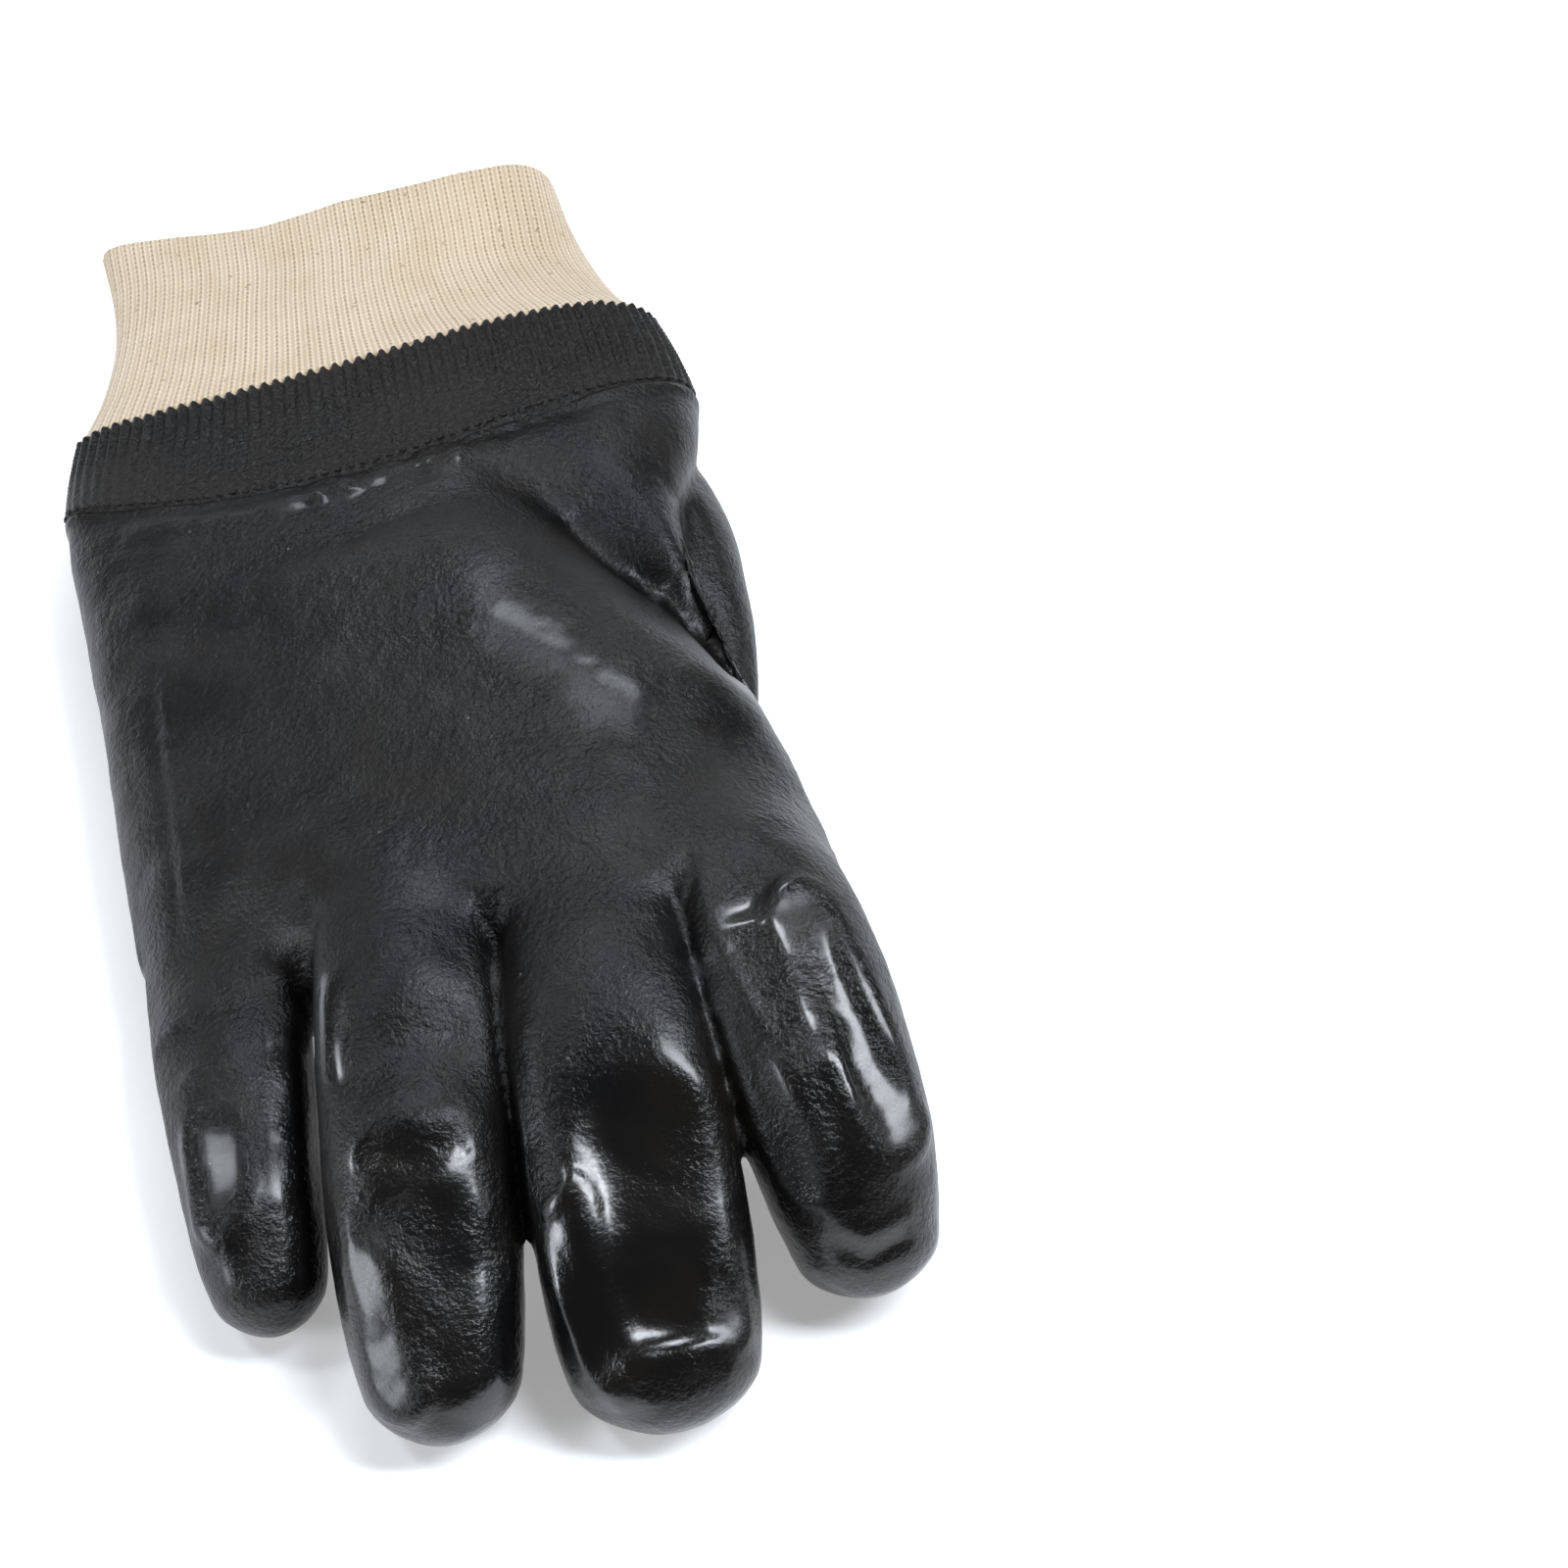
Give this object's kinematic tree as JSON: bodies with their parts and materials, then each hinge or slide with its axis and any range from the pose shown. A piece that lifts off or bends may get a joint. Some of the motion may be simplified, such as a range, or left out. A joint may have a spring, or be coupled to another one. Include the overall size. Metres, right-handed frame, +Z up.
{
  "type": "pvc coated work glove",
  "caption": "Black PVC coated right-hand work glove with a natural knitted wrist, lying palm down with the thumb tucked under.",
  "frame": {"origin": "bottom centre of the glove's bounding box, on the floor it lies on", "axes": "+Z up from the floor, +Y from the fingertips to the knitted mouth, +X to the thumb and index side"},
  "size_m": [0.1276, 0.2552, 0.0517],
  "materials": {
    "coating": "glossy",
    "coated_rib": "satin",
    "cotton": "matte"
  },
  "bodies": {
    "root": {"coated_hand": "coating", "dipped_band": "coated_rib", "knit_wrist": "cotton"}
  },
  "joints": []
}
